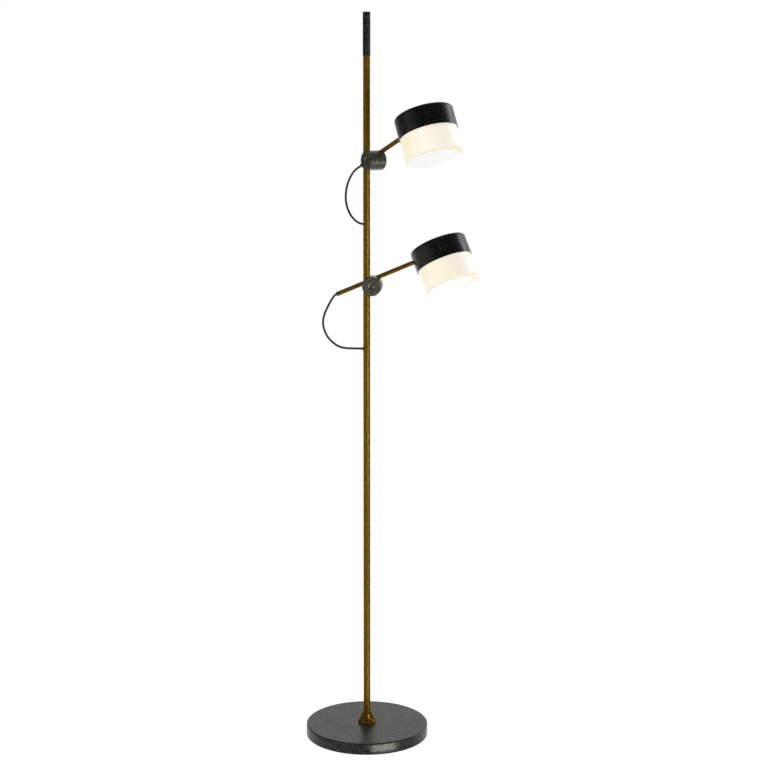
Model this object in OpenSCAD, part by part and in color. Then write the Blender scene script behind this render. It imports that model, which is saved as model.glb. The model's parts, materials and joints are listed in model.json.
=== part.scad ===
// Free-standing reading lamp: a round weighted base, one slim pole, and two
// arms whose cross joints slide, swivel, tilt, twist and reach on the pole.
// The frame's origin is on the floor under the pole, +Z up, +X to the lamps.

/* [Stand] */
// Height of the whole lamp from the floor
lamp_h = 1600; // [1500:5:1750]
// Diameter of the base disc
base_d = 273; // [220:1:320]
// Height of the base's top face above the floor
base_h = 26; // [25:0.5:34]
// Radius of the base disc's top edge
base_edge_r = 2.8; // [1:0.2:4]
// From the disc's edge in to the edge of the felt pad under it
pad_inset = 11.5; // [9:0.5:30]
// Thickness of the felt pad
pad_t = 3; // [2:0.5:5]
// How far the pad stands out below the disc
pad_proud = 1; // [0.5:0.25:1.5]
// Diameter of the pole
pole_d = 15; // [14:0.5:16]
// Wall of the pole
pole_wall = 1.2; // [0.8:0.1:1.3]
// Diameter of the foot collar where it meets the base
collar_d = 40; // [34:1:60]
// Diameter of the foot collar's top
collar_top_d = 21.5; // [19:0.5:26]
// Height of the foot collar
collar_h = 20.5; // [14:0.5:30]
// Height of the collar's upright rim
collar_rim_h = 2.2; // [1:0.1:5]
// Hollowing of the collar's side, 1 for a straight cone
collar_hollow = 1.35; // [1:0.05:2]

/* [Grip] */
// Diameter of the grip on the pole's top
grip_d = 16.4; // [15.9:0.1:20]
// Length of the grip
grip_l = 91; // [60:1:140]
// Thickness of the grip's closed end
grip_end_t = 2; // [1:0.5:5]

/* [Base fastening] */
// Diameter of the hollow threaded stud
stud_d = 10; // [8:0.5:10]
// Bore of the stud, which the mains lead passes
stud_bore_d = 6.5; // [4:0.5:7]
// Length of the stud inside the pole
stud_in_pole = 22; // [12:1:30]
// Thickness of the disc where the stud passes
web_t = 9; // [6:0.5:12]
// Diameter of the pocket under the web
pocket_d = 50; // [40:1:70]
// Width of the hexagon nut across its flats
nut_af = 17; // [14:0.5:20]
// Height of the hexagon nut
nut_h = 6; // [5:0.5:8]
// Diameter of the washer above the nut
washer_d = 32; // [22:1:38]
// Thickness of the washer
washer_t = 2; // [1:0.5:3]
// Width of the lead's channel in the base
channel_w = 9; // [8:0.5:11]
// How far the rubber bush stands out of the channel's mouth
inlet_proud = 1; // [0.5:0.5:4]

/* [Cross joints] */
// Diameter of the joint's two halves
joint_d = 42; // [41:0.5:50]
// From the pole's axis to the near face
joint_near = 9.6; // [9.4:0.1:14]
// From the pole's axis to the plane between the halves
joint_split = 12; // [11.5:0.1:13]
// From the pole's axis to the far face
joint_far = 29.8; // [29.4:0.1:36]
// From the pole's axis sideways to the joint's axis
pole_offset = 11.6; // [11.5:0.1:11.9]
// From the joint's axis up to the arm's axis
arm_offset = 12; // [11.5:0.1:13]
// From the pole's axis back to the plane of the arm
arm_plane = 21.8; // [21.5:0.1:22.2]
// Radius of the joint's outer edges
joint_edge_r = 1.2; // [0.4:0.1:2]
// Diameter of the screw's shank
screw_d = 4; // [3:0.5:4]
// Diameter of the screw's head
screw_head_d = 7.6; // [6:0.2:8.4]
// Height of the screw's head
screw_head_h = 2.2; // [1.6:0.1:2.4]
// Width of the hexagon socket across its flats
socket_af = 2.5; // [2:0.5:3]
// Diameter of the dished recess at a face
recess_d = 15; // [12:0.5:16]
// Diameter of the recess's floor
recess_floor_d = 9.2; // [9:0.1:10]
// Depth of the near recess
recess_near_h = 3; // [2.4:0.1:3.4]
// Depth of the far recess
recess_far_h = 4.6; // [4:0.1:5]
// Width of the joint's nut across its flats
joint_nut_af = 7; // [6:0.5:7.5]
// Height of the joint's nut
joint_nut_h = 3.8; // [3:0.1:4.4]
// Diameter of the friction disc between the halves
friction_d = 18; // [14:0.5:24]
// How deep the friction disc sits in each half
friction_in = 1.1; // [0.6:0.1:1.3]
// Gap between the two halves
half_gap = 0.3; // [0.2:0.05:0.6]
// Wall of the bush on the pole
pole_bush_wall = 0.75; // [0.6:0.05:0.8]
// Length of the bush on the pole
pole_bush_l = 12; // [8:0.5:13]
// Wall of the bush on the arm
arm_bush_wall = 0.75; // [0.6:0.05:1]
// Length of the bush on the arm
arm_bush_l = 23; // [14:0.5:26]

/* [Arms] */
// Diameter of the arm's tube
arm_d = 9.5; // [9:0.25:10]
// Wall of the arm's tube
arm_wall = 1; // [0.6:0.1:1.1]
// Length of the arm's tube
arm_l = 253.5; // [245:0.5:280]
// How far the tube passes the middle of the head
arm_past_head = 9; // [6:0.5:11]
// Thickness of the bead on the bush in the arm's open end
bead_t = 1.2; // [0.8:0.1:3]
// Length of that bush inside the arm
bead_plug_l = 8; // [6:0.5:14]

/* [Heads] */
// Diameter of the metal cap
cap_d = 125; // [120:0.5:140]
// Height of the cap above the arm's axis
cap_above = 18.5; // [15:0.5:24]
// Height of the cap below the arm's axis
cap_below = 28; // [26:0.5:36]
// Radius of the cap's top edge
cap_edge_r = 6; // [3:0.5:9]
// Wall of the cap
cap_wall = 1.2; // [0.8:0.1:1.4]
// Diameter of the opal diffuser
diffuser_d = 121; // [116:0.5:121.5]
// Height of the diffuser below the cap
diffuser_drop = 51.5; // [46:0.5:70]
// Wall of the diffuser
diffuser_wall = 2.5; // [1.5:0.1:3]
// Radius of the diffuser's lower edge
diffuser_edge_r = 3; // [3:0.1:8]
// Height of the mounting plate's top below the arm's axis
plate_down = 8.5; // [7.5:0.5:9.5]
// Thickness of the mounting plate
plate_t = 1.5; // [1:0.1:2]
// From the head's axis to the saddle's end towards the joint
saddle_back = 13; // [12:1:18]
// Wall of the saddle past the wires' hole
saddle_end_wall = 2.5; // [2:0.5:5]
// Width of the saddle
saddle_w = 24; // [20:1:36]
// Diameter of the saddle's sleeve, which reaches the cap's wall
sleeve_d = 14; // [13:0.5:18]
// Diameter of the grub screw that holds the arm
grub_d = 4; // [3:0.5:5]
// Width of its hexagon socket across the flats
grub_socket_af = 2; // [1.5:0.5:2.5]
// Depth of its hexagon socket
grub_socket_h = 1.5; // [1:0.1:2]
// From the head's axis to each weld stud
stud_place = 48; // [46:0.5:52]
// Diameter of the weld studs
weld_stud_d = 4; // [3:0.5:5]
// Width of the studs' nuts across their flats
stud_nut_af = 7; // [6:0.5:8]
// Height of the studs' nuts
stud_nut_h = 3.2; // [2.4:0.2:5]
// Diameter of the hole the wires pass in the plate
wire_hole_d = 8; // [6:0.5:10]
// Number of spring clips that hold the diffuser
clip_count = 3; // [3:1:4]
// Width of a clip
clip_w = 12; // [8:1:16]
// Height of a clip
clip_h = 14; // [10:1:16]
// Thickness of a clip's leaf
clip_t = 0.8; // [0.5:0.1:1.2]
// Length of a clip's foot along the plate
clip_foot_l = 9; // [5:0.5:12]

/* [Lamps in the heads] */
// Diameter of the lampholder
holder_d = 75; // [74:0.5:78]
// Height of the lampholder
holder_h = 13; // [10:0.5:16]
// Diameter of the disc lamp
bulb_d = 74; // [70:0.5:75]
// Height of the disc lamp
bulb_h = 19; // [16:0.5:26]
// Diameter of the lamp's centre spigot
spigot_d = 21.5; // [18:0.5:24]
// Distance between the lamp's two pins
pin_pitch = 53; // [50:0.5:56]
// Diameter of the pins
pin_d = 5; // [4:0.5:6]
// Width of the chamfer round the disc lamp's front
bulb_edge = 3; // [1:0.5:5]
// Distance between the two screws of the holder
holder_pitch = 54; // [48:0.5:58]
// Diameter of those screws
holder_screw_d = 3; // [2.5:0.5:4]
// Diameter of those screws' heads
holder_head_d = 5.8; // [5:0.2:8]
// Height of those screws' heads
holder_head_h = 2; // [1.2:0.2:3]

/* [Upper lamp] */
// Height of the upper joint
upper_z = 1288; // [1258:1:1330]
// Swivel of the upper arm towards the front, in degrees
upper_swivel = 54.4; // [30:0.1:75]
// Tilt of the upper arm above level, in degrees
upper_tilt = 23.6; // [15:0.1:30]
// Twist of the upper head about its arm, in degrees
upper_twist = 0.4; // [-20:0.1:20]
// From the upper joint along the arm to the head's axis
upper_reach = 186; // [170:0.5:190]

/* [Lower lamp] */
// Height of the lower joint
lower_z = 1017; // [900:1:1040]
// Swivel of the lower arm towards the front, in degrees
lower_swivel = 6.3; // [-10:0.1:20]
// Tilt of the lower arm above level, in degrees
lower_tilt = 23; // [15:0.1:30]
// Twist of the lower head about its arm, in degrees
lower_twist = -16.9; // [-30:0.1:20]
// From the lower joint along the arm to the head's axis
lower_reach = 163.5; // [155:0.5:175]

/* [Cord loops] */
// Diameter of the cord
cord_d = 4.8; // [4:0.1:5]
// From the joint down to the cord's hole in the pole
hole_down = 137; // [120:1:150]
// Diameter of the flange on the pole's cord bush
flange_d = 9.2; // [8.5:0.1:11]
// How far that flange stands out of the pole
flange_t = 1.2; // [0.8:0.1:2]

/* [Hidden] */
$fn = 96;
slack = 0.05;      // radial clearance of a sliding or turning fit
cord_gap = 0.3;    // clearance round the cord where it passes a bush
seat_gap = 0.3;    // clearance of a piece that rests loosely in its seat
past = 1;          // how far a cutting solid passes the face it cuts
bush_wall = 0.85;  // wall of a cord bush where it fills its hole
overlap = 1;       // how deep two solids of one piece run into each other
screw_crown = 0.6; // height of the rounded edge of a screw's head
grip_edge = 0.8;   // chamfer round the grip's end
side_steps = 12;   // steps that the hollow of the foot collar is drawn in

base_r = base_d / 2;
pad_r = base_r - pad_inset;
pole_r = pole_d / 2;
arm_r = arm_d / 2;
joint_r = joint_d / 2;
cord_r = cord_d / 2;
cord_bore_r = cord_r + cord_gap;
pocket_top = base_h - web_t;
channel_z = pad_proud + channel_w / 2;
pole_top = lamp_h - grip_end_t;
pole_bush_r = pole_r + slack + pole_bush_wall;
arm_bush_r = arm_r + slack + arm_bush_wall;
hole_r = cord_bore_r + bush_wall;
cap_r = cap_d / 2;
cap_inner_r = cap_r - cap_wall;
cap_ceiling = cap_above - cap_wall;
plate_top = -plate_down;
wire_x = arm_past_head + wire_hole_d;
plate_bottom = plate_top - plate_t;
holder_bottom = plate_bottom - holder_h;
diffuser_r = diffuser_d / 2;
diffuser_inner_r = diffuser_r - diffuser_wall;
diffuser_bottom = -cap_below - diffuser_drop;
diffuser_top = plate_bottom - seat_gap;
screw_floor = -joint_near + recess_near_h;
nut_floor = joint_far - recess_far_h;

// Each lamp: joint height, swivel, tilt, twist and reach
LAMPS = [
    [upper_z, upper_swivel, upper_tilt, upper_twist, upper_reach],
    [lower_z, lower_swivel, lower_tilt, lower_twist, lower_reach]
];
UPPER = 0;
LOWER = 1;

// The free run of each cord loop, in the frame of its joint: away from the
// lamp along -X, back along +Y, and down along -Z, from the pole's axis
UPPER_RUN = [
    [-57, 21.8, -16.5], [-67, 21.5, -21], [-77.5, 20.5, -28], [-86, 19, -38],
    [-92.5, 17.5, -49], [-96.3, 15.5, -61], [-97, 13.5, -73], [-95, 11.5, -85],
    [-90.5, 9.5, -96], [-83, 7.5, -106.5], [-73.5, 5.5, -115.5], [-62.5, 3.5, -123],
    [-50.5, 2, -129], [-38, 1, -133.5], [-27, 0, -136]
];
LOWER_RUN = [
    [-72.6, 21.8, -23.1], [-74.7, 21.7, -25.6], [-81, 21.2, -35.5], [-87.3, 20.2, -47],
    [-92.8, 18.8, -59], [-96.6, 17, -71], [-98, 15, -83], [-96, 13, -95],
    [-92, 11, -105.5], [-85.5, 9, -115.5], [-77, 7, -124], [-67, 5, -131],
    [-55.5, 3.5, -135.5], [-43.5, 2, -137], [-31, 0.5, -137]
];
RUNS = [UPPER_RUN, LOWER_RUN];
cord_sides = 10;
cord_in_arm = 5;    // length of cord modelled inside the arm's end
cord_straight = 1.5; // straight length of cord past the arm's end
cord_level = 18;    // where the cord's last level stretch begins
cord_end = 4;       // how far past the pole's axis the cord's end lies

// ---------------------------------------------------------------- helpers

function joint_z(lamp) = LAMPS[lamp][0];
function swivel(lamp) = LAMPS[lamp][1];
function tilt(lamp) = LAMPS[lamp][2];
function twist(lamp) = LAMPS[lamp][3];
function reach(lamp) = LAMPS[lamp][4];
function tail(lamp) = arm_l - arm_past_head - reach(lamp);
function hex_r(across_flats) = across_flats / 2 / cos(30);

// Frame of a joint: origin on the pole's axis, +X along the level arm, +Y
// back along the joint's own axis
module at_joint(lamp) {
    translate([0, 0, joint_z(lamp)])
        rotate([0, 0, -swivel(lamp)])
            children();
}

// Frame of the tilting half: origin on the joint's axis, +X along the arm
module at_tilt(lamp) {
    at_joint(lamp)
        translate([pole_offset, 0, 0])
            rotate([0, -tilt(lamp), 0])
                children();
}

// Frame of the arm: origin on its axis at the joint, +X to the head
module at_arm(lamp) {
    at_tilt(lamp)
        translate([0, arm_plane, arm_offset])
            rotate([twist(lamp), 0, 0])
                children();
}

// Frame of the head: origin where the arm's axis meets the head's, +Z up
module at_head(lamp) {
    at_arm(lamp)
        translate([reach(lamp), 0, 0])
            children();
}

// A round bar or bore along X, Y or Z between two places
module along_x(r, from, to) {
    translate([from, 0, 0])
        rotate([0, 90, 0])
            cylinder(r = r, h = to - from);
}

module along_y(r, from, to) {
    translate([0, from, 0])
        rotate([-90, 0, 0])
            cylinder(r = r, h = to - from);
}

module along_z(r, from, to) {
    translate([0, 0, from])
        cylinder(r = r, h = to - from);
}

module ring_z(outer_r, inner_r, from, to) {
    difference() {
        along_z(outer_r, from, to);
        along_z(inner_r, from - past, to + past);
    }
}

module hex_z(across_flats, from, to) {
    translate([0, 0, from])
        cylinder(r = hex_r(across_flats), h = to - from, $fn = 6);
}

// ------------------------------------------------------------------ stand

// Half outline of a disc or drum from bottom to top, with its upper edge
// rounded
module rounded_outline(r, bottom, top, edge_r) {
    edge_y = top - edge_r;
    translate([0, bottom])
        square([r, edge_y - bottom]);
    translate([0, edge_y - past])
        square([r - edge_r, edge_r + past]);
    intersection() {
        translate([r - edge_r, edge_y])
            circle(r = edge_r);
        translate([0, edge_y])
            square([r, edge_r]);
    }
}

module base_disc() {
    color([0.27, 0.27, 0.25])
        difference() {
            rotate_extrude()
                rounded_outline(base_r, pad_proud, base_h, base_edge_r);
            along_z(pad_r + seat_gap, pad_proud - past, pad_t);
            along_z(pocket_d / 2, pad_t - past, pocket_top);
            along_z(stud_d / 2 + slack, pad_t, base_h + past);
            translate([-channel_w / 2, 0, pad_proud - past])
                cube([channel_w, base_r + past, channel_w / 2 + past]);
            translate([0, 0, channel_z])
                along_y(channel_w / 2, 0, base_r + past);
        }
}

module base_pad() {
    color([0.1, 0.1, 0.1])
        along_z(pad_r, 0, pad_t);
}

module base_stud() {
    color([0.7, 0.7, 0.68])
        ring_z(stud_d / 2, stud_bore_d / 2,
               pocket_top - washer_t - nut_h - overlap, base_h + stud_in_pole);
}

module base_washer() {
    color([0.7, 0.7, 0.68])
        ring_z(washer_d / 2, stud_d / 2 + slack,
               pocket_top - washer_t, pocket_top);
}

module base_nut() {
    nut_top = pocket_top - washer_t;
    color([0.7, 0.7, 0.68])
        difference() {
            hex_z(nut_af, nut_top - nut_h, nut_top);
            along_z(stud_d / 2 + slack, nut_top - nut_h - past, nut_top + past);
        }
}

module lead_inlet_bush() {
    from = pad_r + 2 * seat_gap;
    to = base_r + inlet_proud;
    color([0.06, 0.06, 0.06])
        translate([0, 0, channel_z])
            difference() {
                along_y(channel_w / 2 - slack, from, to);
                along_y(cord_bore_r, from - past, to + past);
            }
}

// A bell whose side is hollowed between its upright rim and its top
module foot_collar() {
    top_r = collar_top_d / 2;
    foot_r = collar_d / 2;
    rim_edge = collar_rim_h / 3;
    side = [
        for (i = [0 : side_steps])
            let (left = 1 - i / side_steps)
            [top_r + (foot_r - top_r) * pow(left, collar_hollow),
             collar_h - (collar_h - collar_rim_h) * left]
    ];
    color([0.5, 0.38, 0.16])
        translate([0, 0, base_h])
            rotate_extrude()
                polygon(concat(
                    [[pole_r + slack, 0], [foot_r - rim_edge, 0], [foot_r, rim_edge]],
                    side,
                    [[pole_r + slack, collar_h]]
                ));
}

module cord_hole(lamp) {
    translate([0, 0, -hole_down])
        at_joint(lamp)
            along_x(hole_r + slack, -pole_d, 0);
}

module pole() {
    color([0.45, 0.34, 0.12])
        difference() {
            ring_z(pole_r, pole_r - pole_wall, base_h, pole_top);
            cord_hole(UPPER);
            cord_hole(LOWER);
        }
}

module pole_foot_plug() {
    color([0.7, 0.7, 0.68])
        ring_z(pole_r - pole_wall - slack / 2, stud_d / 2 + slack / 2,
               base_h, base_h + stud_in_pole);
}

module top_grip() {
    grip_r = grip_d / 2;
    color([0.07, 0.07, 0.07])
        difference() {
            union() {
                along_z(grip_r, lamp_h - grip_l, lamp_h - grip_edge);
                translate([0, 0, lamp_h - grip_edge])
                    cylinder(r1 = grip_r, r2 = grip_r - grip_edge, h = grip_edge);
            }
            along_z(pole_r + slack / 2, lamp_h - grip_l - past, pole_top);
        }
}

// A rubber bush in the pole's wall: a body in the hole, a flange on the pole
module pole_cord_bush(lamp) {
    body_end = pole_r - pole_wall - overlap;
    color([0.06, 0.06, 0.06])
        translate([0, 0, -hole_down])
            at_joint(lamp)
                difference() {
                    union() {
                        along_x(hole_r, -pole_r - flange_t, -body_end);
                        difference() {
                            along_x(flange_d / 2, -pole_r - flange_t, -body_end);
                            along_z(pole_r, -pole_d, pole_d);
                        }
                    }
                    along_x(cord_bore_r, -pole_d, 0);
                }
}

// ------------------------------------------------------------ cross joint

// Solid of revolution about the joint's axis, rounded at one outer edge
module joint_half(from, to, round_at) {
    edge_end = round_at < to ? from : to;
    inward = round_at < to ? 1 : -1;
    edge_y = edge_end + inward * joint_edge_r;
    rotate([-90, 0, 0])
        rotate_extrude() {
            translate([0, min(edge_y, round_at < to ? to : from)])
                square([joint_r, to - from - joint_edge_r]);
            translate([0, min(edge_end, edge_y)])
                square([joint_r - joint_edge_r, joint_edge_r]);
            intersection() {
                translate([joint_r - joint_edge_r, edge_y])
                    circle(r = joint_edge_r);
                translate([0, from])
                    square([joint_r, to - from]);
            }
        }
}

// The dished recess: a cone at the face and a flat floor below it
module recess(face, inward, depth) {
    cone_h = recess_near_h - screw_head_h / 2;
    translate([0, face, 0])
        rotate([inward > 0 ? -90 : 90, 0, 0]) {
            cylinder(r1 = recess_d / 2, r2 = recess_floor_d / 2, h = cone_h);
            cylinder(r = recess_floor_d / 2, h = depth);
            translate([0, 0, -past])
                cylinder(r = recess_d / 2, h = past);
        }
}

module pole_bush(lamp) {
    color([0.1, 0.1, 0.1])
        at_joint(lamp)
            ring_z(pole_bush_r, pole_r + slack, -pole_bush_l / 2, pole_bush_l / 2);
}

module pole_clamp(lamp) {
    color([0.3, 0.31, 0.28])
        at_joint(lamp)
            difference() {
                translate([pole_offset, 0, 0])
                    difference() {
                        joint_half(-joint_near, joint_split, -joint_near);
                        recess(-joint_near, 1, recess_near_h);
                        along_y(screw_d / 2 + slack, -joint_near, joint_split + past);
                        along_y(friction_d / 2 + slack,
                                joint_split - friction_in, joint_split + past);
                    }
                along_z(pole_bush_r + slack, -joint_d, joint_d);
            }
}

module joint_screw(lamp) {
    head_top = screw_floor - screw_head_h;
    color([0.55, 0.55, 0.52])
        at_joint(lamp)
            translate([pole_offset, 0, 0])
                difference() {
                    union() {
                        along_y(screw_d / 2, screw_floor - overlap, nut_floor + joint_nut_h);
                        along_y(screw_head_d / 2, head_top + screw_crown, screw_floor);
                        translate([0, head_top, 0])
                            rotate([-90, 0, 0])
                                cylinder(r1 = screw_head_d / 2 - 2 * screw_crown,
                                         r2 = screw_head_d / 2, h = screw_crown);
                    }
                    translate([0, head_top - past, 0])
                        rotate([-90, 0, 0])
                            cylinder(r = hex_r(socket_af), h = past + screw_head_h / 2,
                                     $fn = 6);
                }
}

module friction_disc(lamp) {
    color([0.8, 0.78, 0.7])
        at_joint(lamp)
            translate([pole_offset, 0, 0])
                difference() {
                    along_y(friction_d / 2, joint_split - friction_in,
                            joint_split + half_gap + friction_in - slack);
                    along_y(screw_d / 2 + slack, 0, joint_far);
                }
}

module joint_nut(lamp) {
    color([0.55, 0.55, 0.52])
        at_joint(lamp)
            translate([pole_offset, nut_floor + slack, 0])
                rotate([-90, 0, 0])
                    difference() {
                        hex_z(joint_nut_af, 0, joint_nut_h);
                        along_z(screw_d / 2 + slack / 2, -past, joint_nut_h + past);
                    }
}

module arm_clamp(lamp) {
    inner_face = joint_split + half_gap;
    color([0.3, 0.31, 0.28])
        at_tilt(lamp)
            difference() {
                joint_half(inner_face, joint_far, joint_far);
                recess(joint_far, -1, recess_far_h);
                along_y(screw_d / 2 + slack, inner_face - past, joint_far);
                along_y(friction_d / 2 + slack,
                        inner_face - past, inner_face + friction_in);
                translate([0, arm_plane, arm_offset])
                    along_x(arm_bush_r + slack, -joint_d, joint_d);
            }
}

module arm_bush(lamp) {
    color([0.1, 0.1, 0.1])
        at_arm(lamp)
            difference() {
                along_x(arm_bush_r, -arm_bush_l / 2, arm_bush_l / 2);
                along_x(arm_r + slack, -arm_bush_l, arm_bush_l);
            }
}

// -------------------------------------------------------------------- arm

module arm_tube(lamp) {
    color([0.45, 0.34, 0.12])
        at_arm(lamp)
            difference() {
                along_x(arm_r, -tail(lamp), reach(lamp) + arm_past_head);
                along_x(arm_r - arm_wall, -arm_l, arm_l);
            }
}

module arm_end_bush(lamp) {
    end = -tail(lamp);
    color([0.06, 0.06, 0.06])
        at_arm(lamp)
            difference() {
                union() {
                    along_x(arm_r - arm_wall - slack, end - bead_t / 2, end + bead_plug_l);
                    along_x(arm_r, end - bead_t, end);
                }
                along_x(cord_bore_r, end - arm_l, end + arm_l);
            }
}

// ------------------------------------------------------------------- head

// The spun cap with its rounded shoulder, two weld studs and the arm's hole
module cap(lamp) {
    color([0.05, 0.05, 0.05])
        at_head(lamp)
            difference() {
                union() {
                    rotate_extrude()
                        difference() {
                            rounded_outline(cap_r, -cap_below, cap_above, cap_edge_r);
                            rounded_outline(cap_inner_r, -cap_below - past, cap_ceiling,
                                            cap_edge_r - cap_wall);
                        }
                    weld_studs();
                }
                along_x(arm_r + slack, -cap_d, 0);
            }
}

module at_studs() {
    for (side = [-1, 1])
        translate([0, side * stud_place, 0])
            children();
}

module weld_studs() {
    at_studs()
        along_z(weld_stud_d / 2, plate_bottom - stud_nut_h, cap_ceiling + cap_wall / 2);
}

// A block on the plate with a sleeve to the cap's wall, one blind bore for the
// arm, and a hole down from the bore's end for the wires
module arm_saddle(lamp) {
    length = saddle_back + wire_x + wire_hole_d / 2 + saddle_end_wall;
    color([0.6, 0.6, 0.58])
        at_head(lamp)
            difference() {
                union() {
                    translate([-saddle_back, -saddle_w / 2, plate_top])
                        cube([length, saddle_w, cap_ceiling - plate_top]);
                    intersection() {
                        along_x(sleeve_d / 2, -cap_r, 0);
                        along_z(cap_inner_r - slack, -sleeve_d, sleeve_d);
                    }
                }
                along_x(arm_r + slack, -cap_r, wire_x);
                along_z(grub_d / 2 + slack, plate_top - past, 0);
                at_wire_hole()
                    along_z(wire_hole_d / 2, plate_top - past, 0);
            }
}

module grub_screw(lamp) {
    color([0.2, 0.2, 0.2])
        at_head(lamp)
            difference() {
                along_z(grub_d / 2, plate_top, -arm_r - slack);
                hex_z(grub_socket_af, plate_top - past, plate_top + grub_socket_h);
            }
}

module mounting_plate(lamp) {
    color([0.75, 0.75, 0.74])
        at_head(lamp)
            difference() {
                along_z(cap_inner_r - seat_gap, plate_bottom, plate_top);
                at_studs()
                    along_z(weld_stud_d / 2 + slack, plate_bottom - past, plate_top + past);
                at_holder_screws()
                    along_z(holder_screw_d / 2 + slack, plate_bottom - past, plate_top + past);
                at_wire_hole()
                    along_z(wire_hole_d / 2, plate_bottom - past, plate_top + past);
            }
}

module plate_nuts(lamp) {
    color([0.7, 0.7, 0.68])
        at_head(lamp)
            at_studs()
                difference() {
                    hex_z(stud_nut_af, plate_bottom - stud_nut_h, plate_bottom);
                    along_z(weld_stud_d / 2 + slack, plate_bottom - stud_nut_h - past,
                            plate_bottom + past);
                }
}

// The wires leave the arm's end in the saddle and drop through the plate
module at_wire_hole() {
    translate([wire_x, 0, 0])
        children();
}

module at_holder_screws() {
    for (side = [-1, 1])
        translate([0, side * holder_pitch / 2, 0])
            children();
}

module at_lamp_pins() {
    for (side = [-1, 1])
        translate([side * pin_pitch / 2, 0, 0])
            children();
}

module holder_screws(lamp) {
    color([0.7, 0.7, 0.68])
        at_head(lamp)
            at_holder_screws() {
                along_z(holder_head_d / 2, plate_top, plate_top + holder_head_h);
                along_z(holder_screw_d / 2, plate_bottom - holder_h / 2, plate_top + overlap);
            }
}

module lampholder(lamp) {
    color([0.92, 0.92, 0.9])
        at_head(lamp)
            difference() {
                along_z(holder_d / 2, holder_bottom, plate_bottom);
                along_z(spigot_d / 2 + seat_gap, holder_bottom - past, plate_bottom + past);
                at_lamp_pins()
                    along_z(pin_d / 2 + seat_gap, holder_bottom - past,
                            plate_bottom - holder_h / 3);
                at_holder_screws()
                    along_z(holder_screw_d / 2 + slack, plate_bottom - holder_h / 2,
                            plate_bottom + past);
                at_wire_hole()
                    along_z(wire_hole_d / 2, plate_bottom - holder_h / 3, plate_bottom + past);
            }
}

// A flat lamp with a chamfered front, a centre spigot and two pins
module disc_lamp(lamp) {
    front = holder_bottom - bulb_h;
    color([0.97, 0.95, 0.88])
        at_head(lamp) {
            along_z(bulb_d / 2, front + bulb_edge, holder_bottom);
            translate([0, 0, front])
                cylinder(r1 = bulb_d / 2 - bulb_edge, r2 = bulb_d / 2, h = bulb_edge);
            along_z(spigot_d / 2, holder_bottom - overlap, plate_bottom - holder_h / 4);
            at_lamp_pins()
                along_z(pin_d / 2, holder_bottom - overlap, plate_bottom - holder_h / 2);
        }
}

// A drum open at its top, turned over so that its rounded edge is below
module diffuser(lamp) {
    color([0.98, 0.95, 0.86])
        at_head(lamp)
            mirror([0, 0, 1])
                rotate_extrude()
                    difference() {
                        rounded_outline(diffuser_r, -diffuser_top, -diffuser_bottom,
                                        diffuser_edge_r);
                        rounded_outline(diffuser_inner_r, -diffuser_top - past,
                                        -diffuser_bottom - diffuser_wall,
                                        diffuser_edge_r / 2);
                    }
}

// Spring clips under the plate: a foot and a leaf against the diffuser
module diffuser_clips(lamp) {
    leaf_r = diffuser_inner_r - slack;
    color([0.75, 0.75, 0.74])
        at_head(lamp)
            for (i = [0 : clip_count - 1])
                rotate([0, 0, 360 * (i + 0.5) / clip_count])
                    intersection() {
                        union() {
                            ring_z(leaf_r, leaf_r - clip_t,
                                   plate_bottom - clip_h, plate_bottom);
                            ring_z(leaf_r, leaf_r - clip_foot_l,
                                   plate_bottom - clip_t, plate_bottom);
                        }
                        translate([0, -clip_w / 2, plate_bottom - clip_h])
                            cube([cap_r, clip_w, clip_h]);
                    }
}

// ------------------------------------------------------------------- cord

// A point on the arm's axis in the frame of its joint
function arm_point(lamp, x) = [
    pole_offset + x * cos(tilt(lamp)) - arm_offset * sin(tilt(lamp)),
    arm_plane,
    x * sin(tilt(lamp)) + arm_offset * cos(tilt(lamp))
];

function cord_route(lamp) = let (mouth = -tail(lamp) - bead_t) concat(
    [arm_point(lamp, mouth + cord_in_arm), arm_point(lamp, mouth),
     arm_point(lamp, mouth - cord_straight)],
    RUNS[lamp],
    [[-cord_level, 0, -hole_down], [-pole_r, 0, -hole_down], [cord_end, 0, -hole_down]]
);

function unit(v) = v / norm(v);
function heading(route, i) =
    let (last = len(route) - 1)
    i == 0 ? unit(route[1] - route[0]) :
    i == last ? unit(route[last] - route[last - 1]) :
    unit(unit(route[i + 1] - route[i]) + unit(route[i] - route[i - 1]));

// One ring of points round the route, square to it
function cord_ring(route, i) =
    let (ahead = heading(route, i),
         across = unit(cross(ahead, [0, 1, 0])),
         other = cross(ahead, across))
    [for (k = [0 : cord_sides - 1])
        let (turn = 360 * k / cord_sides)
        route[i] + cord_r * (cos(turn) * across + sin(turn) * other)];

module cord(lamp) {
    route = cord_route(lamp);
    count = len(route);
    points = [for (i = [0 : count - 1]) each cord_ring(route, i)];
    sides = [
        for (i = [0 : count - 2], k = [0 : cord_sides - 1])
            let (a = i * cord_sides + k,
                 b = i * cord_sides + (k + 1) % cord_sides)
            each [[a, b, b + cord_sides], [a, b + cord_sides, a + cord_sides]]
    ];
    start = [for (k = [0 : cord_sides - 1]) cord_sides - 1 - k];
    end = [for (k = [0 : cord_sides - 1]) (count - 1) * cord_sides + k];
    color([0.08, 0.08, 0.08])
        at_joint(lamp)
            polyhedron(points, concat(sides, [start, end]));
}

// ------------------------------------------------------------------ nodes

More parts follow.
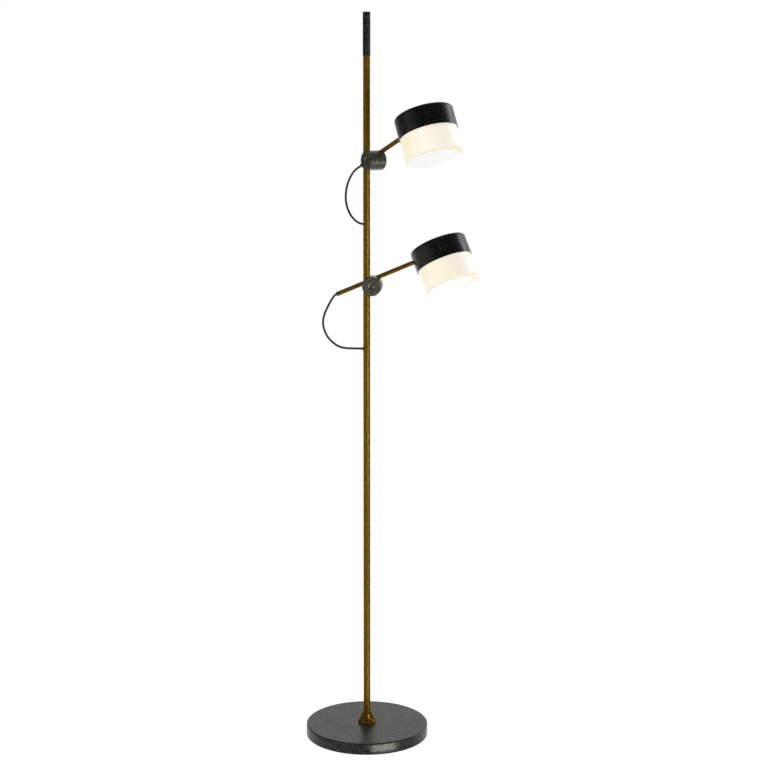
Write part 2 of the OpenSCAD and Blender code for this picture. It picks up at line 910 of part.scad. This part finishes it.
base_disc();
base_pad();
base_stud();
base_washer();
base_nut();
lead_inlet_bush();
foot_collar();
pole();
pole_foot_plug();
top_grip();
pole_cord_bush(UPPER);  // upper_pole_cord_bush
pole_cord_bush(LOWER);  // lower_pole_cord_bush
pole_bush(UPPER);  // upper_pole_bush
pole_bush(LOWER);  // lower_pole_bush
pole_clamp(UPPER);  // upper_pole_clamp
pole_clamp(LOWER);  // lower_pole_clamp
joint_screw(UPPER);  // upper_joint_screw
joint_screw(LOWER);  // lower_joint_screw
friction_disc(UPPER);  // upper_friction_disc
friction_disc(LOWER);  // lower_friction_disc
joint_nut(UPPER);  // upper_joint_nut
joint_nut(LOWER);  // lower_joint_nut
arm_clamp(UPPER);  // upper_arm_clamp
arm_clamp(LOWER);  // lower_arm_clamp
arm_bush(UPPER);  // upper_arm_bush
arm_bush(LOWER);  // lower_arm_bush
arm_tube(UPPER);  // upper_arm_tube
arm_tube(LOWER);  // lower_arm_tube
arm_end_bush(UPPER);  // upper_arm_end_bush
arm_end_bush(LOWER);  // lower_arm_end_bush
cap(UPPER);  // upper_cap
cap(LOWER);  // lower_cap
arm_saddle(UPPER);  // upper_arm_saddle
arm_saddle(LOWER);  // lower_arm_saddle
grub_screw(UPPER);  // upper_grub_screw
grub_screw(LOWER);  // lower_grub_screw
mounting_plate(UPPER);  // upper_mounting_plate
mounting_plate(LOWER);  // lower_mounting_plate
plate_nuts(UPPER);  // upper_plate_nuts
plate_nuts(LOWER);  // lower_plate_nuts
lampholder(UPPER);  // upper_lampholder
lampholder(LOWER);  // lower_lampholder
holder_screws(UPPER);  // upper_holder_screws
holder_screws(LOWER);  // lower_holder_screws
disc_lamp(UPPER);  // upper_disc_lamp
disc_lamp(LOWER);  // lower_disc_lamp
diffuser(UPPER);  // upper_diffuser
diffuser(LOWER);  // lower_diffuser
diffuser_clips(UPPER);  // upper_diffuser_clips
diffuser_clips(LOWER);  // lower_diffuser_clips
cord(UPPER);  // upper_cord
cord(LOWER);  // lower_cord
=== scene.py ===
"""Looks of a free-standing reading lamp: bronze pole and arms, black drum heads with lit opal diffusers."""

import json
import math

import bmesh
import bpy
from mathutils import Matrix, Vector


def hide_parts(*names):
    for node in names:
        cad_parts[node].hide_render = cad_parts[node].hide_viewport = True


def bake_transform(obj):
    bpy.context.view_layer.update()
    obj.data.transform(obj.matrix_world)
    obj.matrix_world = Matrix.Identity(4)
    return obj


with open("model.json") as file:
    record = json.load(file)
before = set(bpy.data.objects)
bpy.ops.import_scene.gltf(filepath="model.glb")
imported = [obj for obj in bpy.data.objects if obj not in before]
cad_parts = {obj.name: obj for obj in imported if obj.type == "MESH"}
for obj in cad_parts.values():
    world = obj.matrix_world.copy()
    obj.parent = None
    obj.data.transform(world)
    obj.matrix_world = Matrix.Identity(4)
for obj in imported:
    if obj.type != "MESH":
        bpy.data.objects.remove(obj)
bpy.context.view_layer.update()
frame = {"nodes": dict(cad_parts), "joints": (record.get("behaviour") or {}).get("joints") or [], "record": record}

JOINTS = {joint["name"]: joint for joint in frame["joints"]}
LAMPS = ("upper", "lower")
MM = 0.001

# ---------------------------------------------------------------- camera, from the photograph

CAMERA_PLACE = (0.0, -3.787, 1.4504)  # in metres
CAMERA_LENS = 82.24                   # in millimetres, as the sensor's width is
CAMERA_SENSOR = 36.0
PITCH_DOWN = math.radians(9.72)
TURN_RIGHT = math.radians(0.57)
ROLL = math.radians(-0.06)


def make_camera():
    """The camera at the photograph's viewing angle, found from the outlines of the base, pole and heads."""
    data = bpy.data.cameras.new("camera")
    data.lens = CAMERA_LENS
    data.sensor_width = CAMERA_SENSOR
    camera = bpy.data.objects.new("camera", data)
    ahead = Vector((math.sin(TURN_RIGHT) * math.cos(PITCH_DOWN),
                    math.cos(TURN_RIGHT) * math.cos(PITCH_DOWN),
                    -math.sin(PITCH_DOWN)))
    right = ahead.cross(Vector((0, 0, 1))).normalized()
    turned = Matrix.Rotation(ROLL, 3, ahead) @ right
    over = turned.cross(ahead)
    camera.matrix_world = Matrix.Translation(CAMERA_PLACE) @ Matrix(
        (turned, over, -ahead)).transposed().to_4x4()
    bpy.context.collection.objects.link(camera)
    bpy.context.scene.camera = camera


make_camera()

# ---------------------------------------------------------------- places worked out from the joints

HEAD_TURN = {"upper": math.radians(0.4), "lower": math.radians(-16.9)}  # about the arm, at rest


def joint_frame(lamp):
    """Frame of a cross joint: +X along the level arm, +Y back along the joint's axis, +Z up the pole."""
    back = -Vector(JOINTS[lamp + "_tilt"]["axis"])
    up = Vector((0, 0, 1))
    side = back.cross(up)
    turn = Matrix((side, back, up)).transposed().to_4x4()
    return Matrix.Translation(JOINTS[lamp + "_swivel"]["pos_m"]) @ turn


def head_frame(lamp):
    """Frame of a head: origin where the arm's axis meets the head's, +X out along the arm, +Z up the head."""
    along = Vector(JOINTS[lamp + "_twist"]["axis"])
    back = -Vector(JOINTS[lamp + "_tilt"]["axis"])
    turn = Matrix((along, back, along.cross(back))).transposed().to_4x4()
    return (Matrix.Translation(JOINTS[lamp + "_twist"]["pos_m"]) @ turn
            @ Matrix.Rotation(HEAD_TURN[lamp], 4, "X"))


# ---------------------------------------------------------------- cords

CORD_D = 4.8 * MM
CORD_SIDES = 12
CORD_STEPS = 5                # rings from one point of the route to the next
CORD_IN_ARM = 5 * MM          # how far inside the arm's open end the cord starts
CORD_STRAIGHT = 1.5 * MM      # how far it goes straight on from that end
ARM_BEHIND_HEAD = 245.7 * MM  # from the head's axis to the arm's open end
SAME_PLACE = MM / 10          # points of a line that are nearer to each other than this are one point

# The cord's way into the pole, in millimetres in the frame of its joint
HOLE_DOWN = -137              # height of the hole in the pole
CORD_LEVEL = 18               # the cord runs level from this far off the pole's axis
POLE_R = 7.5
CORD_END = 4                  # it ends inside the pole, this far beyond the axis

# The free run of each loop, in millimetres in the frame of its joint, as in the CAD source
RUNS = {
    "upper": [
        (-57, 21.8, -16.5), (-67, 21.5, -21), (-77.5, 20.5, -28), (-86, 19, -38),
        (-92.5, 17.5, -49), (-96.3, 15.5, -61), (-97, 13.5, -73), (-95, 11.5, -85),
        (-90.5, 9.5, -96), (-83, 7.5, -106.5), (-73.5, 5.5, -115.5), (-62.5, 3.5, -123),
        (-50.5, 2, -129), (-38, 1, -133.5), (-27, 0, -136),
    ],
    "lower": [
        (-72.6, 21.8, -23.1), (-74.7, 21.7, -25.6), (-81, 21.2, -35.5), (-87.3, 20.2, -47),
        (-92.8, 18.8, -59), (-96.6, 17, -71), (-98, 15, -83), (-96, 13, -95),
        (-92, 11, -105.5), (-85.5, 9, -115.5), (-77, 7, -124), (-67, 5, -131),
        (-55.5, 3.5, -135.5), (-43.5, 2, -137), (-31, 0.5, -137),
    ],
}

# Each loop has four stretches, which take up the reach, the tilt, the swivel and the height in turn.
# The tilt has the length that the others leave. Each stretch runs from one body to the next.
REACH_STRETCH = 37 * MM
SWIVEL_STRETCH = 60 * MM
HEIGHT_STRETCH = 42 * MM
ACROSS_CORDS = Vector((0, 1, 0))   # no cord runs this way, so it lines up a tube's rings


def cord_route(lamp):
    """The route's points from inside the arm's open end to inside the pole."""
    head = head_frame(lamp)
    in_joint = joint_frame(lamp)
    along_arm = [-ARM_BEHIND_HEAD + CORD_IN_ARM, -ARM_BEHIND_HEAD, -ARM_BEHIND_HEAD - CORD_STRAIGHT]
    level = [(-CORD_LEVEL, 0, HOLE_DOWN), (-POLE_R, 0, HOLE_DOWN), (CORD_END, 0, HOLE_DOWN)]
    return ([head @ Vector((x, 0, 0)) for x in along_arm]
            + [in_joint @ (Vector(point) * MM) for point in RUNS[lamp] + level])


def smooth_line(points, steps):
    """A Catmull-Rom curve through the points, spaced by their distances so that it doesn't overshoot."""
    ends = [2 * points[0] - points[1]] + points + [2 * points[-1] - points[-2]]
    line = []
    for i in range(len(points) - 1):
        p0, p1, p2, p3 = ends[i:i + 4]
        t1 = math.sqrt((p1 - p0).length)
        t2 = t1 + math.sqrt((p2 - p1).length)
        t3 = t2 + math.sqrt((p3 - p2).length)
        for k in range(steps):
            t = t1 + (t2 - t1) * k / steps
            a1 = p0 * (t1 - t) / t1 + p1 * t / t1
            a2 = p1 * (t2 - t) / (t2 - t1) + p2 * (t - t1) / (t2 - t1)
            a3 = p2 * (t3 - t) / (t3 - t2) + p3 * (t - t2) / (t3 - t2)
            b1 = a1 * (t2 - t) / t2 + a2 * t / t2
            b2 = a2 * (t3 - t) / (t3 - t1) + a3 * (t - t1) / (t3 - t1)
            line.append(b1 * (t2 - t) / (t2 - t1) + b2 * (t - t1) / (t2 - t1))
    return line + [points[-1]]


def line_length(line):
    """Length of a line of points."""
    return sum((b - a).length for a, b in zip(line, line[1:]))


def cut_at(line, lengths):
    """Cuts a line into stretches that end at the given lengths along it; neighbours share a point."""
    stretches = [[line[0]]]
    done = 0.0
    marks = list(lengths)
    for a, b in zip(line, line[1:]):
        step = (b - a).length
        while marks and done + step >= marks[0]:
            point = a.lerp(b, (marks.pop(0) - done) / step)
            stretches[-1].append(point)
            stretches.append([point])
        done += step
        if (stretches[-1][-1] - b).length > SAME_PLACE:
            stretches[-1].append(b)
    return stretches


def heading_at(line, point):
    """Direction of the whole line at one of its places."""
    nearest = min(range(len(line)), key=lambda i: (line[i] - point).length)
    low = max(nearest - 1, 0)
    high = min(nearest + 1, len(line) - 1)
    return (line[high] - line[low]).normalized()


def tube(name, line, headings, radius):
    """A closed round tube whose rings stand square to the headings at the line's points."""
    mesh = bmesh.new()
    rings = []
    for point, ahead in zip(line, headings):
        across = ahead.cross(ACROSS_CORDS).normalized()
        other = ahead.cross(across)
        rings.append([mesh.verts.new(point + radius * (math.cos(turn) * across + math.sin(turn) * other))
                      for turn in (2 * math.pi * k / CORD_SIDES for k in range(CORD_SIDES))])
    for low, high in zip(rings, rings[1:]):
        for k in range(CORD_SIDES):
            following = (k + 1) % CORD_SIDES
            mesh.faces.new((low[k], low[following], high[following], high[k])).smooth = True
    mesh.faces.new(rings[0])
    mesh.faces.new(rings[-1])
    bmesh.ops.recalc_face_normals(mesh, faces=mesh.faces)
    data = bpy.data.meshes.new(name)
    mesh.to_mesh(data)
    mesh.free()
    piece = bpy.data.objects.new(name, data)
    bpy.context.collection.objects.link(piece)
    return piece


def make_cord(lamp):
    """One cord loop, cut into stretches that each run between the two bodies that a joint connects."""
    line = smooth_line(cord_route(lamp), CORD_STEPS)
    whole = line_length(line)
    cuts = (REACH_STRETCH, whole - HEIGHT_STRETCH - SWIVEL_STRETCH, whole - HEIGHT_STRETCH)
    stretches = cut_at(line, cuts)
    for number, stretch in enumerate(stretches):
        piece = tube("%s_cord_%d" % (lamp, number + 1), stretch,
                     [heading_at(line, point) for point in stretch], CORD_D / 2)
        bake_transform(piece)
        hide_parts(lamp + "_cord")
        piece.data.materials.append(FINISHES["cord_jacket"])


# ---------------------------------------------------------------- node helpers


def new_material(name):
    """A material with its node tree's nodes and links."""
    material = bpy.data.materials.new(name)
    material.use_nodes = True
    return material, material.node_tree.nodes, material.node_tree.links


def linear(share):
    """A screen's level, 0 to 1, as the light it stands for, by the curve of the sRGB standard."""
    if share > 0.04045:
        return ((share + 0.055) / 1.055) ** 2.4
    return share / 12.92


def srgb(red, green, blue):
    """A colour written as it shows on a screen, 0 to 255, as the linear colour that shaders take."""
    return (linear(red / 255), linear(green / 255), linear(blue / 255), 1.0)


def grey(level):
    """A linear grey, 0 for black and 1 for white."""
    return (level, level, level, 1.0)


def feed(links, socket, value):
    """Links a socket to another's output, or sets it to a plain number or colour."""
    if isinstance(value, bpy.types.NodeSocket):
        links.new(value, socket)
    else:
        socket.default_value = value


def math_node(nodes, links, operation, *values):
    """A Math node whose inputs are sockets or numbers."""
    node = nodes.new("ShaderNodeMath")
    node.operation = operation
    for socket, value in zip(node.inputs, values):
        feed(links, socket, value)
    return node.outputs[0]


MIX_LOW, MIX_HIGH, MIX_RESULT = 6, 7, 2   # a Mix node's sockets for colours


def mix_colours(nodes, links, share, low, high):
    """The colour low where share is 0 and high where it is 1; both are sockets or colours."""
    node = nodes.new("ShaderNodeMix")
    node.data_type = "RGBA"
    links.new(share, node.inputs["Factor"])
    feed(links, node.inputs[MIX_LOW], low)
    feed(links, node.inputs[MIX_HIGH], high)
    return node.outputs[MIX_RESULT]


def grain(nodes, links, scale, detail):
    """A noise texture in the object's own metres, with about scale grains to the metre."""
    place = nodes.new("ShaderNodeTexCoord")
    noise = nodes.new("ShaderNodeTexNoise")
    noise.inputs["Scale"].default_value = scale
    noise.inputs["Detail"].default_value = detail
    links.new(place.outputs["Object"], noise.inputs["Vector"])
    return noise.outputs["Fac"]


def ramp(nodes, links, source, stops):
    """A colour ramp; stops are (place, colour)."""
    node = nodes.new("ShaderNodeValToRGB")
    elements = node.color_ramp.elements
    while len(elements) < len(stops):
        elements.new(0.5)   # any place: the next loop sets it
    for element, (place, colour) in zip(elements, stops):
        element.position = place
        element.color = colour
    links.new(source, node.inputs["Fac"])
    return node.outputs["Color"]


NOISE_LOW, NOISE_HIGH = 0.3, 0.7      # nearly all of a noise lies between these
GRAIN_FROM, GRAIN_TO = 0.48, 0.64     # between these a surface turns from its dark to its light


def spread(nodes, links, source, low, high):
    """Maps a noise value onto the range low to high."""
    node = nodes.new("ShaderNodeMapRange")
    node.inputs["From Min"].default_value = NOISE_LOW
    node.inputs["From Max"].default_value = NOISE_HIGH
    node.inputs["To Min"].default_value = low
    node.inputs["To Max"].default_value = high
    links.new(source, node.inputs["Value"])
    return node.outputs["Result"]


def seen_by(nodes, links, *rays):
    """1 where one of the named outputs of the Light Path node is 1, and 0 elsewhere."""
    path = nodes.new("ShaderNodeLightPath")
    seen = path.outputs[rays[0]]
    for ray in rays[1:]:
        seen = math_node(nodes, links, "MAXIMUM", seen, path.outputs[ray])
    return seen


# ---------------------------------------------------------------- plain finishes

PATCHES = 30             # patches to the metre in which a surface is rougher or smoother
COAT_GRAIN = 300         # grains to the metre of the textured coat on the metal pieces
NO_TINT = (1.0, 1.0, 1.0, 1.0)


def surface(name, dark, light, rough, metallic=0.0, speckle=900, bump=0.02 * MM, bump_scale=1500,
            specular=0.5, edge=NO_TINT):
    """A finish whose colour, roughness and relief vary with a fine grain.

    dark and light are the grain's colours on a screen, and rough is the range of the roughness. speckle
    and bump_scale give the grains to the metre in colour and in relief, bump the relief's height, and
    edge the tint of what a metal reflects at a glancing angle.
    """
    material, nodes, links = new_material(name)
    shader = nodes["Principled BSDF"]
    shader.inputs["Metallic"].default_value = metallic
    shader.inputs["Specular IOR Level"].default_value = specular
    shader.inputs["Specular Tint"].default_value = edge
    fine = grain(nodes, links, speckle, detail=1.0)
    stops = [(GRAIN_FROM, srgb(*dark)), (GRAIN_TO, srgb(*light))]
    links.new(ramp(nodes, links, fine, stops), shader.inputs["Base Color"])
    broad = grain(nodes, links, PATCHES, detail=2.0)
    links.new(spread(nodes, links, broad, *rough), shader.inputs["Roughness"])
    relief = nodes.new("ShaderNodeBump")
    relief.inputs["Distance"].default_value = bump
    relief.inputs["Strength"].default_value = 1.0
    links.new(grain(nodes, links, bump_scale, detail=1.0), relief.inputs["Height"])
    links.new(relief.outputs["Normal"], shader.inputs["Normal"])
    return material


BRONZE = dict(rough=(0.28, 0.34), metallic=0.35, speckle=420, bump=0.3 * MM, bump_scale=COAT_GRAIN,
              specular=0.0, edge=(0.2, 0.15, 0.06, 1))

LOOKS = {
    "base_paint": dict(dark=(9, 9, 8), light=(88, 86, 76), rough=(0.26, 0.32), speckle=340,
                       bump=0.7 * MM, bump_scale=COAT_GRAIN, specular=0.2),
    "bronze_pole": dict(dark=(104, 71, 12), light=(144, 118, 44), **BRONZE),
    "bronze_tube": dict(dark=(102, 68, 16), light=(140, 110, 44), **BRONZE),
    "bronze_collar": dict(dark=(92, 60, 14), light=(136, 104, 44), rough=(0.3, 0.36), metallic=0.55,
                          speckle=COAT_GRAIN, bump=0.2 * MM, bump_scale=COAT_GRAIN, specular=0.0,
                          edge=(0.4, 0.32, 0.2, 1)),
    "black_grip": dict(dark=(6, 6, 6), light=(66, 66, 64), rough=(0.4, 0.5), speckle=COAT_GRAIN,
                       bump=0.6 * MM, bump_scale=COAT_GRAIN, specular=0.2),
    "joint_metal": dict(dark=(80, 80, 70), light=(116, 116, 102), rough=(0.3, 0.38), metallic=0.75,
                        speckle=COAT_GRAIN, bump=0.4 * MM, bump_scale=COAT_GRAIN),
    "screw_metal": dict(dark=(70, 68, 60), light=(104, 102, 94), rough=(0.3, 0.4), metallic=1.0),
    "black_cap": dict(dark=(2, 2, 2), light=(38, 38, 36), rough=(0.26, 0.32), speckle=COAT_GRAIN,
                      bump=0.5 * MM, bump_scale=COAT_GRAIN, specular=0.36),
    "cord_jacket": dict(dark=(24, 24, 24), light=(44, 44, 44), rough=(0.5, 0.65), speckle=1200,
                        bump=0.05 * MM),
    "black_rubber": dict(dark=(18, 18, 18), light=(30, 30, 30), rough=(0.55, 0.7)),
    "nylon": dict(dark=(30, 30, 30), light=(42, 42, 42), rough=(0.5, 0.6)),
    "felt": dict(dark=(20, 20, 20), light=(52, 52, 52), rough=(0.9, 1.0), speckle=500, bump=0.4 * MM,
                 bump_scale=700),
    "zinc_plate": dict(dark=(165, 165, 160), light=(196, 196, 192), rough=(0.3, 0.42), metallic=1.0),
    "raw_aluminium": dict(dark=(160, 160, 158), light=(190, 190, 188), rough=(0.4, 0.55), metallic=1.0),
    "spring_steel": dict(dark=(170, 170, 168), light=(200, 200, 198), rough=(0.22, 0.32), metallic=1.0),
    "white_plastic": dict(dark=(226, 226, 222), light=(238, 238, 234), rough=(0.3, 0.38)),
}
FINISHES = {slot: surface(slot, **look) for slot, look in LOOKS.items()}

# ---------------------------------------------------------------- the lit pieces

GLOSS = (0.32, 0.4)        # range of their roughness
GLOSS_PATCHES = 40         # and its patches to the metre

LAMP_CLOUDS = 60           # clouds to the metre in the disc lamp's colour
LAMP_COLOURS = [(NOISE_LOW, srgb(245, 240, 228)), (NOISE_HIGH, srgb(250, 246, 236))]
LAMP_LIGHT = [(0.2, srgb(255, 240, 214)), (0.8, srgb(255, 240, 212))]   # colour of its light, cloud by cloud
LAMP_GLOW = 1.2            # light that it gives off, 1 for white

OPAL_R = 60.5 * MM         # outer radius of the diffuser
OPAL_BOTTOM = -79.5 * MM   # its lower face in the head's frame
FACE_DEPTH = MM / 2        # what is nearer to that height than this is the lower face
OPAL_RIM = 3 * MM          # width of the warmer rim of the lower face
OPAL_RIM_OUT = 30 * MM     # and how much wider it is on the side away from the pole
OPAL_EDGE = 3 * MM         # width of the rounded edge that gets the painted shade
OPAL_EDGE_SHADE = 0.7            # painted shade: share of the glow that the edge loses on the pole's side
EDGE_SHADE_REACH = 0.5           # how far past the head's axis the painted shade still reaches, as a share of the radius
SIDE_GLOW = 0.50           # light that the sides give off, 1 for white
FACE_GLOW = 0.43           # and the lower face

OPAL_CLOUDS = 22           # clouds to the metre in the plastic's colour
OPAL_COLOURS = [(NOISE_LOW, srgb(248, 240, 214)), (NOISE_HIGH, srgb(250, 232, 210))]
FACE_COLOUR = srgb(254, 253, 251)
SIDE_GLOW_PAINTED = [             # colour of the sides' glow, with painted light that is whitest on the far side, from the pole's side, 0, to the far side, 1
    (0.0, srgb(244, 244, 222)), (0.25, srgb(255, 255, 236)), (0.5, srgb(251, 247, 218)),
    (0.85, srgb(255, 255, 248)),
]
FACE_LIGHT = [(0.0, srgb(252, 232, 160)), (1.0, srgb(255, 255, 252))]   # from the face's rim inwards


def head_place(nodes, links, lamp):
    """Where a point of a head lies in the head's own frame, in metres."""
    place = nodes.new("ShaderNodeTexCoord")
    mapping = nodes.new("ShaderNodeMapping")
    inward = head_frame(lamp).inverted()
    mapping.inputs["Location"].default_value = inward.to_translation()
    mapping.inputs["Rotation"].default_value = inward.to_euler()
    links.new(place.outputs["Object"], mapping.inputs["Vector"])
    return mapping.outputs["Vector"]


def add_gloss(nodes, links):
    """Gives a lit piece's shader its slightly uneven gloss."""
    patches = grain(nodes, links, GLOSS_PATCHES, detail=4.0)
    links.new(spread(nodes, links, patches, *GLOSS), nodes["Principled BSDF"].inputs["Roughness"])


def make_opal(lamp):
    """Opal plastic lit from inside: cream sides with painted light, whitest on the far side, a white lower face
    with a warm rim, and painted shade on the edge on the pole's side.
    """
    material, nodes, links = new_material(lamp + "_opal")
    shader = nodes["Principled BSDF"]

    def calc(operation, *values):
        return math_node(nodes, links, operation, *values)

    split = nodes.new("ShaderNodeSeparateXYZ")
    links.new(head_place(nodes, links, lamp), split.inputs["Vector"])
    along, aside, above = split.outputs["X"], split.outputs["Y"], split.outputs["Z"]
    from_axis = calc("SQRT", calc("ADD", calc("POWER", along, 2.0), calc("POWER", aside, 2.0)))
    inward = calc("SUBTRACT", OPAL_R, from_axis)
    upward = calc("SUBTRACT", above, OPAL_BOTTOM)
    outward = calc("DIVIDE", along, OPAL_R)                 # -1 on the pole's side, 1 on the far side
    below = calc("LESS_THAN", upward, FACE_DEPTH)
    rim = calc("MULTIPLY_ADD", calc("MAXIMUM", outward, 0.0), OPAL_RIM_OUT, OPAL_RIM)
    face = calc("MULTIPLY", below, calc("MINIMUM", calc("DIVIDE", inward, rim), 1.0))

    # painted shade: the glow of the diffuser's rounded edge is darkened on the pole's side
    from_edge = calc("DIVIDE", calc("ADD", inward, upward), OPAL_EDGE)
    near_edge = calc("SUBTRACT", 1.0, calc("MINIMUM", from_edge, 1.0))
    toward_pole = calc("MINIMUM", 1.0, calc("MAXIMUM", 0.0, calc("SUBTRACT", EDGE_SHADE_REACH, outward)))
    painted_edge_shade = calc("MULTIPLY_ADD", calc("MULTIPLY", near_edge, toward_pole), -OPAL_EDGE_SHADE, 1.0)
    full_light = calc("MULTIPLY_ADD", below, FACE_GLOW - SIDE_GLOW, SIDE_GLOW)
    links.new(calc("MULTIPLY", painted_edge_shade, full_light), shader.inputs["Emission Strength"])

    cloud = grain(nodes, links, OPAL_CLOUDS, detail=1.0)
    plastic = mix_colours(nodes, links, face, ramp(nodes, links, cloud, OPAL_COLOURS), FACE_COLOUR)
    links.new(plastic, shader.inputs["Base Color"])
    round_side = calc("MULTIPLY_ADD", outward, 0.5, 0.5)     # 0 on the pole's side, 1 on the far side
    # painted light: the sides' glow changes colour round the head and is whitest on the far side
    painted_side_glow = ramp(nodes, links, round_side, SIDE_GLOW_PAINTED)
    face_light = ramp(nodes, links, face, FACE_LIGHT)
    links.new(mix_colours(nodes, links, below, painted_side_glow, face_light), shader.inputs["Emission Color"])
    add_gloss(nodes, links)
    return material


def make_lamp_body():
    """The disc lamp behind the diffuser."""
    material, nodes, links = new_material("lamp_body")
    shader = nodes["Principled BSDF"]
    cloud = grain(nodes, links, LAMP_CLOUDS, detail=2.0)
    links.new(ramp(nodes, links, cloud, LAMP_COLOURS), shader.inputs["Base Color"])
    links.new(ramp(nodes, links, cloud, LAMP_LIGHT), shader.inputs["Emission Color"])
    shader.inputs["Emission Strength"].default_value = LAMP_GLOW
    add_gloss(nodes, links)
    return material


FINISHES["lamp_body"] = make_lamp_body()


def paint_cad_nodes():
    """Gives each CAD node the finish of its material slot, and each diffuser its own."""
    diffusers = {lamp + "_diffuser": make_opal(lamp) for lamp in LAMPS}
    for subpart in frame["record"]["subparts"]:
        node = frame["nodes"][subpart["node"]]
        finish = diffusers.get(subpart["node"]) or FINISHES[subpart["material_slot"]]
        node.data.materials.clear()
        node.data.materials.append(finish)


for lamp_name in LAMPS:
    make_cord(lamp_name)
paint_cad_nodes()

# ---------------------------------------------------------------- floor, world and lights

FLOOR_SIZE = 14
FLOOR_LEVEL = -0.4 * MM  # a hair under the object, so that no two faces share a plane
FLOOR_COLOURS = [(0.0, grey(0.86)), (1.0, grey(0.25))]   # for light that bounces, and as it is seen
FLOOR_GLOW = 0.945       # what its own glow adds where it is seen, which makes it white in plain light
FLOOR_ROUGH = 0.9

ROOM_LEVELS = [(0.0, grey(0.04)), (0.68, grey(0.08)), (0.94, grey(1.0))]   # from the front to the back
ROOM_LEAN = 0.4          # how much further the room's brightness reaches on the right than on the left


def make_floor():
    """A white floor that shows full white, and the object's shadow only where it is deep."""
    bpy.ops.mesh.primitive_plane_add(size=FLOOR_SIZE, location=(0, 0, FLOOR_LEVEL))
    floor = bpy.context.object
    floor.name = "floor"
    material, nodes, links = new_material("floor")
    shader = nodes["Principled BSDF"]
    seen = seen_by(nodes, links, "Is Camera Ray", "Is Glossy Ray", "Is Transmission Ray")
    links.new(ramp(nodes, links, seen, FLOOR_COLOURS), shader.inputs["Base Color"])
    links.new(math_node(nodes, links, "MULTIPLY", seen, FLOOR_GLOW), shader.inputs["Emission Strength"])
    shader.inputs["Emission Color"].default_value = grey(1.0)
    shader.inputs["Roughness"].default_value = FLOOR_ROUGH
    shader.inputs["Specular IOR Level"].default_value = 0.0
    floor.data.materials.append(material)


def make_world():
    """White to the camera; a studio that is bright behind the lamp and dark in front for all else."""
    world = bpy.data.worlds.new("studio")
    bpy.context.scene.world = world
    world.use_nodes = True
    nodes, links = world.node_tree.nodes, world.node_tree.links
    nodes.clear()
    place = nodes.new("ShaderNodeTexCoord")
    split = nodes.new("ShaderNodeSeparateXYZ")
    links.new(place.outputs["Generated"], split.inputs["Vector"])
    backward = math_node(nodes, links, "MULTIPLY_ADD", split.outputs["X"], ROOM_LEAN, split.outputs["Y"])
    depth = nodes.new("ShaderNodeMapRange")
    depth.inputs["From Min"].default_value = -1.0
    links.new(backward, depth.inputs["Value"])
    room = nodes.new("ShaderNodeBackground")
    links.new(ramp(nodes, links, depth.outputs["Result"], ROOM_LEVELS), room.inputs["Color"])
    white = nodes.new("ShaderNodeBackground")
    white.inputs["Color"].default_value = grey(1.0)
    white.inputs["Strength"].default_value = 1.0
    mix = nodes.new("ShaderNodeMixShader")
    links.new(seen_by(nodes, links, "Is Camera Ray", "Is Transmission Ray"), mix.inputs["Fac"])
    links.new(room.outputs["Background"], mix.inputs[1])
    links.new(white.outputs["Background"], mix.inputs[2])
    output = nodes.new("ShaderNodeOutputWorld")
    links.new(mix.outputs["Shader"], output.inputs["Surface"])


def soft_box(name, place, aim, size, glow, colour=(1, 1, 1), lit=True, reflected=True):
    """A rectangular studio light at place, turned to aim; glow is its face's brightness, 1 for white.

    One that isn't lit only shows as a reflection, and one that isn't reflected only lights.
    """
    data = bpy.data.lights.new(name, "AREA")
    data.shape = "RECTANGLE"
    data.size, data.size_y = size
    data.energy = glow * math.pi * size[0] * size[1]
    data.color = colour
    light = bpy.data.objects.new(name, data)
    light.location = place
    light.rotation_mode = "QUATERNION"
    light.rotation_quaternion = (Vector(aim) - Vector(place)).to_track_quat("-Z", "Y")
    light.visible_diffuse = lit
    light.visible_glossy = reflected
    light.visible_camera = False
    bpy.context.collection.objects.link(light)


make_floor()
make_world()
soft_box("fill_front", place=(-1.0, -3.6, 2.6), aim=(0, 0, 0.8), size=(2.4, 2.4), glow=2.2, reflected=False)
soft_box("fill_top", place=(0, 0, 3.6), aim=(0, 0, 0), size=(2.0, 2.0), glow=1.6, reflected=False)
soft_box("panel_left", place=(-2.8, -1.8, 1.3), aim=(0, -1.8, 1.3), size=(3.2, 3.0), glow=0.5,
         colour=(1.0, 0.99, 0.96))
soft_box("strip_right", place=(2.6, 1.1, 1.7), aim=(0, 0, 1.2), size=(0.6, 1.8), glow=6.5,
         colour=(0.94, 0.97, 1.0))
soft_box("strip_front", place=(1.7, -1.9, 0.62), aim=(0, 0, 0.62), size=(0.2, 1.2), glow=64.0,
         colour=(0.88, 1.0, 0.74), lit=False)

# Two cards on the floor for the base's rim to mirror. Each aims upwards and a hair aside, which is what
# turns it about the vertical.
soft_box("near_card", place=(0.06, -0.172, 0.001), aim=(0.0595, -0.1703, 1), size=(0.085, 0.06), glow=16.0,
         colour=(1.0, 0.98, 0.9), lit=False)
soft_box("far_card", place=(0.455, -0.505, 0.001), aim=(0.45567, -0.50574, 1), size=(0.09, 0.85), glow=12.0,
         colour=(0.9, 1.0, 0.8), lit=False)

bpy.context.scene.view_settings.view_transform = "Standard"
